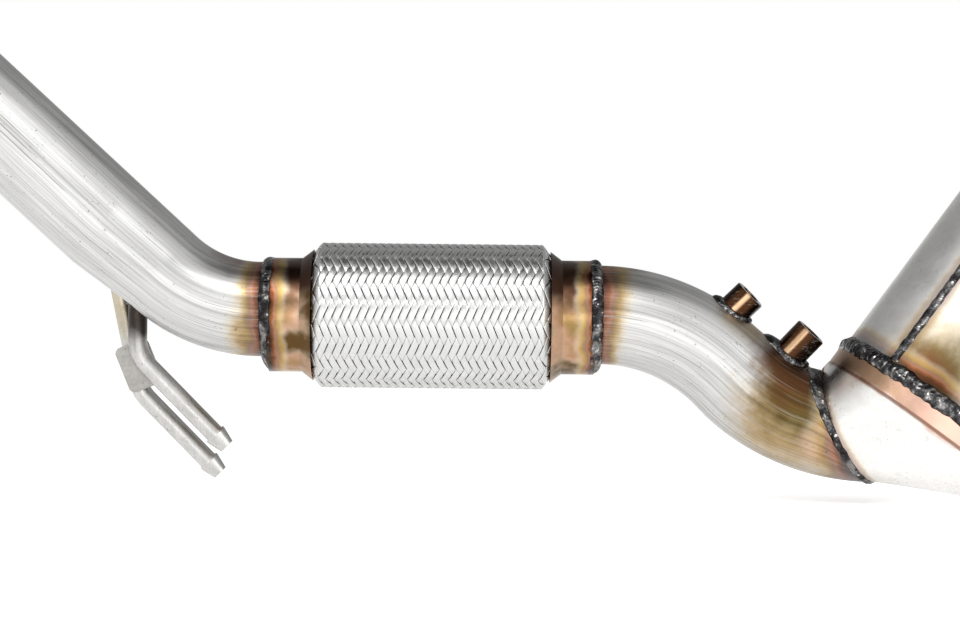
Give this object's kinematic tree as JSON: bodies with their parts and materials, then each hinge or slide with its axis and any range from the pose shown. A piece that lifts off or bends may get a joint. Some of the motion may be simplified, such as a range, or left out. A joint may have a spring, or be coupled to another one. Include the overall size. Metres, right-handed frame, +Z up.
{
  "type": "diesel particulate filter",
  "caption": "Diesel particulate filter canister with inlet cone and flange, stamped outlet dome, S-shaped pipe with sensor bosses, braided flexible section and bent pipe with hanger rods.",
  "frame": {"origin": "centre of the inlet flange's mating face", "axes": "+Z up as the part hangs in the car, -X along the flexible section and on to the pipe's free end, Y across; the centre line lies in the XZ plane"},
  "size_m": [0.9326, 0.152, 0.3552],
  "materials": {
    "pipe_steel": "brushed stainless tube, lightly gold from heat",
    "dome_steel": "pressed stainless sheet, pearly, brown at the weld",
    "canister_steel": "rolled stainless sheet, smooth and bright",
    "weld_steel": "weld metal, dark and rippled",
    "collar_steel": "stainless sheet, brown and straw from heat",
    "braid_wire": "woven stainless wire, bright",
    "boss_steel": "turned stainless, dark bronze from welding",
    "rod_steel": "drawn stainless rod, darkened near the weld",
    "flange_steel": "plain stainless plate",
    "bellows_steel": "thin formed stainless sheet",
    "mat_fibre": "ceramic fibre mat",
    "filter_ceramic": "porous silicon carbide block, matt"
  },
  "bodies": {
    "root": {"canister_seam_weld": "weld_steel", "canister_shell": "canister_steel", "filter_brick": "filter_ceramic", "flange_weld": "weld_steel", "flex_bellows": "bellows_steel", "flex_braid": "braid_wire", "flex_front_collar": "collar_steel", "flex_liner": "bellows_steel", "flex_rear_collar": "collar_steel", "front_girth_weld": "weld_steel", "front_pipe": "pipe_steel", "hanger_back_weld": "weld_steel", "hanger_rod_far": "rod_steel", "hanger_rod_near": "rod_steel", "hanger_rod_weld": "weld_steel", "hanger_web": "rod_steel", "inlet_boss_weld": "weld_steel", "inlet_cone": "canister_steel", "inlet_flange": "flange_steel", "inlet_girth_weld": "weld_steel", "inlet_sensor_boss": "boss_steel", "mid_pipe": "pipe_steel", "outlet_dome": "dome_steel", "outlet_girth_weld": "weld_steel", "outlet_weld": "weld_steel", "rear_girth_weld": "weld_steel", "short_boss_weld": "weld_steel", "short_sensor_boss": "boss_steel", "support_mat": "mat_fibre", "tall_boss_weld": "weld_steel", "tall_sensor_boss": "boss_steel"}
  },
  "joints": []
}
